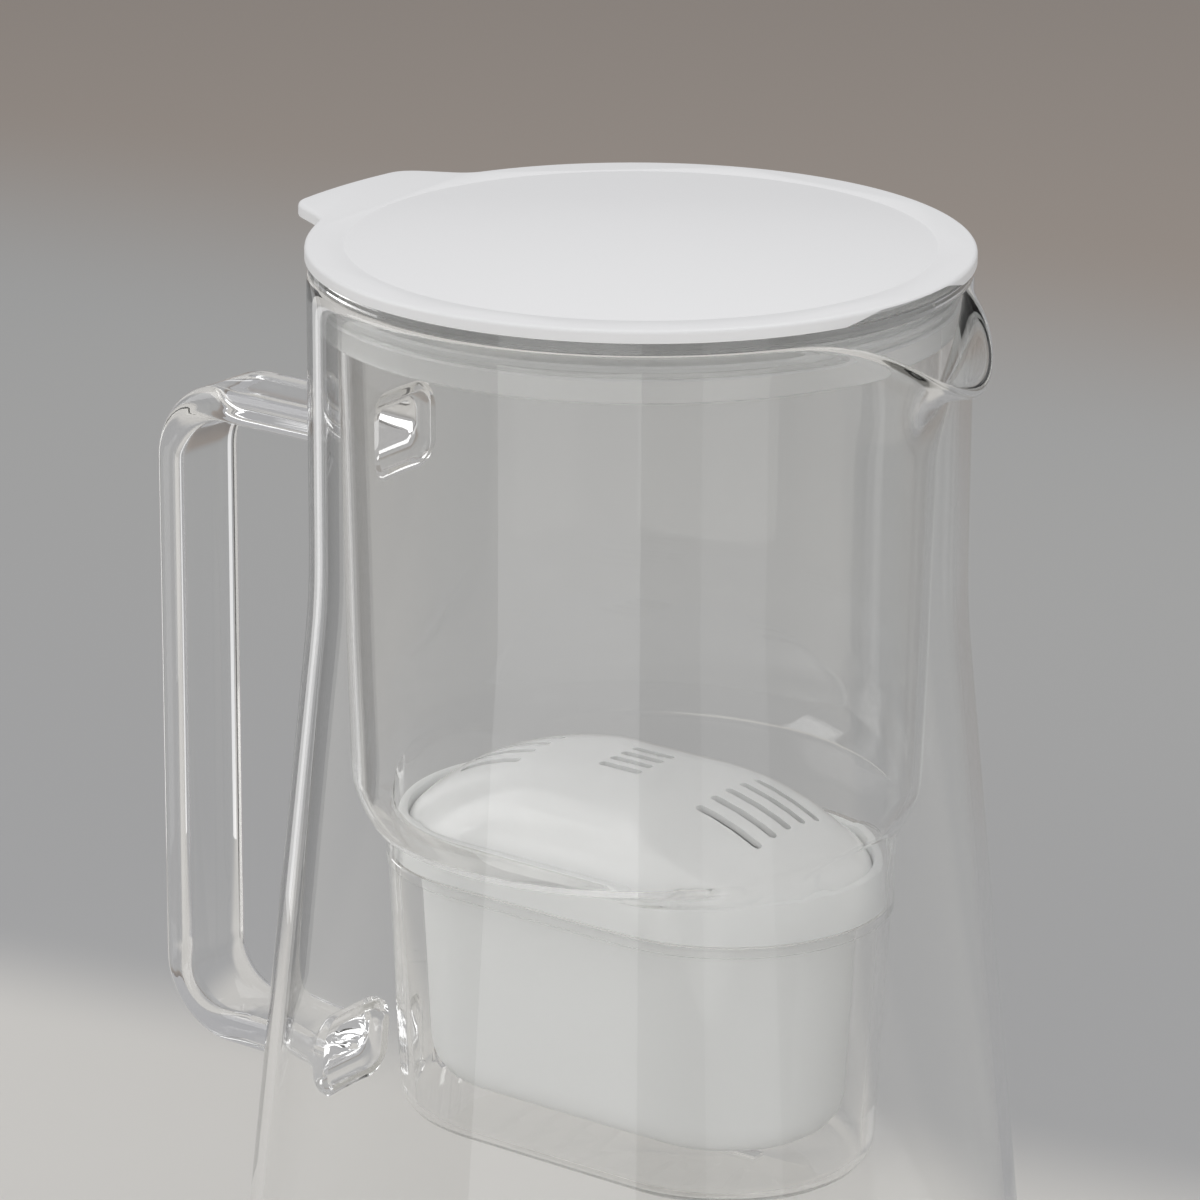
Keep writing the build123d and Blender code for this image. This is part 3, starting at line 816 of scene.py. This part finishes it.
# How far each ring of the collar lies in from its outside, and at what level.
collar_profile = ((0.3, inner_ledge), (0, 143.8), (0, 151.5), (0.15, 151.85), (0.5, 152.0),
                  (1.5, 152.0), (1.85, 151.85), (2.0, 151.5), (2.0, web_level))
cup_slot_count, cup_slot_pitch, cup_slot_level = 9, 7, 97.2
cup_slot_size = (2.0, 18, 4)


def collar(inset, level):
    """Ring of the collar, which leans in towards its top."""
    narrowing = inset + (level - inner_ledge) * collar_draft
    return oval(collar_half_length - narrowing, collar_half_width - narrowing, level)


outside = tapered_foot(cup_half_length, cup_half_width, cup_corner, cup_foot, inner_ledge, cup_draft)
outside.append(oval(cup_half_length, cup_half_width, inner_ledge))
inside = tapered_foot(cup_half_length, cup_half_width, cup_corner - cup_wall, cup_foot + cup_wall,
                      inner_ledge, cup_draft, cup_wall)
inside.append(oval(cup_half_length - cup_wall + web_thickness * cup_draft,
                   cup_half_width - cup_wall + web_thickness * cup_draft, web_level))
cup = ring("cartridge_cup_moulding", cup_columns, outside[0])
grow(cup, outside[1:] + [collar(inset, level) for inset, level in collar_profile] + inside[::-1])
close_ends(cup)
cut(cup, slot_row(cup_slot_count, cup_slot_pitch, cup_slot_size, cup_slot_level))
bpy.ops.object.shade_smooth_by_angle(angle=radians(35))
cup.data.materials.append(moulded_plastic("white_cartridge_plastic", (0.87, 0.88, 0.88), roughness=0.5,
                                          grain=700.0, strength=0.2))
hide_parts("cartridge_cup")
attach(cup, "cartridge")

# Cap of the cartridge: a domed shell of glossier white plastic, welded inside the collar, with
# three groups of vents that let the water in.
cap_half_length, cap_half_width = 49.95, 28.45
cap_wall = 1.3
cap_foot, cap_side_top = 145.4, 149.6
dome_foot, dome_rise = 150.0, 16.0
dome_shares = (0.995, 0.97, 0.93, 0.88, 0.82, 0.75, 0.67, 0.58, 0.48, 0.37, 0.25, 0.12)
vent_width = 1.9
vent_tool_height, vent_tool_level = 24, 162
outer_vent_x, outer_vent_count, outer_vent_pitch, outer_vent_length = 29, 5, 4.8, 15.0
middle_vent_count, middle_vent_pitch, middle_vent_length = 4, 3.6, 10.0


def dome_ring(share):
    """Ring of the dome, whose height falls off from the middle by a cube law."""
    return oval(cap_half_length * share, cap_half_width * share, dome_foot + dome_rise * (1 - share ** 3))


cap = ring("cartridge_cap_dome", cup_columns, oval(cap_half_length, cap_half_width, cap_foot))
grow(cap, [oval(cap_half_length, cap_half_width, cap_side_top)] + [dome_ring(share) for share in dome_shares])
bpy.ops.mesh.edge_face_add()
turn_outwards()
finish_modifier(cap, "SOLIDIFY", thickness=cap_wall * mm, offset=-1)


def vent_tool(x, y, length):
    """Round-ended block that cuts one vent through the dome."""
    bpy.ops.object.select_all(action="DESELECT")
    bpy.ops.mesh.primitive_cylinder_add(vertices=24, radius=vent_width / 2 * mm, depth=vent_tool_height * mm)
    tool = bpy.context.object
    stretch = (length - vent_width) / 2 * mm
    for point in tool.data.vertices:
        point.co += Vector((x * mm + (stretch if point.co.x > 0 else -stretch), y * mm,
                            vent_tool_level * mm))
    return tool


def vent_group(x, count, pitch, length):
    """Tools for one group of vents, side by side across the dome."""
    return [vent_tool(x, (index - (count - 1) / 2) * pitch, length) for index in range(count)]


vents = vent_group(-outer_vent_x, outer_vent_count, outer_vent_pitch, outer_vent_length)
vents += vent_group(outer_vent_x, outer_vent_count, outer_vent_pitch, outer_vent_length)
vents += vent_group(0, middle_vent_count, middle_vent_pitch, middle_vent_length)
cut(cap, vents)
bpy.ops.object.shade_smooth_by_angle(angle=radians(35))
cap.data.materials.append(moulded_plastic("white_cap_plastic", (0.92, 0.925, 0.925), roughness=0.18,
                                          grain=500.0, strength=0.1))
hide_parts("cartridge_cap")
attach(cap, "cartridge")

# Filter bed: dark granules of active carbon, kept in by two sheets of fine white mesh. The upper
# one lies under the cap and shows through its vents, the lower one lies on the floor of the cup.
screen_thickness = 0.4
# Each screen's half length, half width and level.
screens = {"inlet_screen": (49.9, 28.4, web_level), "outlet_screen": (38.2, 16.0, cup_foot + cup_wall)}
granules, nodes, links, shader = new_material("filter_granules")
place = nodes.new("ShaderNodeTexCoord")
grains = nodes.new("ShaderNodeTexVoronoi")
grains.inputs["Scale"].default_value = 900.0
shades = nodes.new("ShaderNodeValToRGB")
shades.color_ramp.elements[0].color = (0.05, 0.045, 0.04, 1)
shades.color_ramp.elements[1].color = (0.32, 0.27, 0.2, 1)
bump = nodes.new("ShaderNodeBump")
bump.inputs["Distance"].default_value = 0.0005
links.new(place.outputs["Object"], grains.inputs["Vector"])
links.new(grains.outputs["Color"], shades.inputs["Fac"])
links.new(shades.outputs["Color"], shader.inputs["Base Color"])
links.new(grains.outputs["Distance"], bump.inputs["Height"])
links.new(bump.outputs["Normal"], shader.inputs["Normal"])
shader.inputs["Roughness"].default_value = 0.8
screen_finish, nodes, links, shader = new_material("white_screen_mesh")
place = nodes.new("ShaderNodeTexCoord")
weave = nodes.new("ShaderNodeTexChecker")
weave.inputs["Color1"].default_value = (0.93, 0.93, 0.93, 1)
weave.inputs["Color2"].default_value = (0.82, 0.82, 0.82, 1)
weave.inputs["Scale"].default_value = 3000.0
links.new(place.outputs["Object"], weave.inputs["Vector"])
links.new(weave.outputs["Color"], shader.inputs["Base Color"])
shader.inputs["Roughness"].default_value = 0.6
for name, (half_length, half_width, level) in screens.items():
    sheet = ring(name + "_mesh", cup_columns, oval(half_length, half_width, level))
    grow(sheet, [oval(half_length, half_width, level + screen_thickness)])
    close_ends(sheet)
    sheet.data.materials.append(screen_finish)
    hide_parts(name)
    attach(sheet, "cartridge")
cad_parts["filter_media"].data.materials.clear()
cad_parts["filter_media"].data.materials.append(granules)
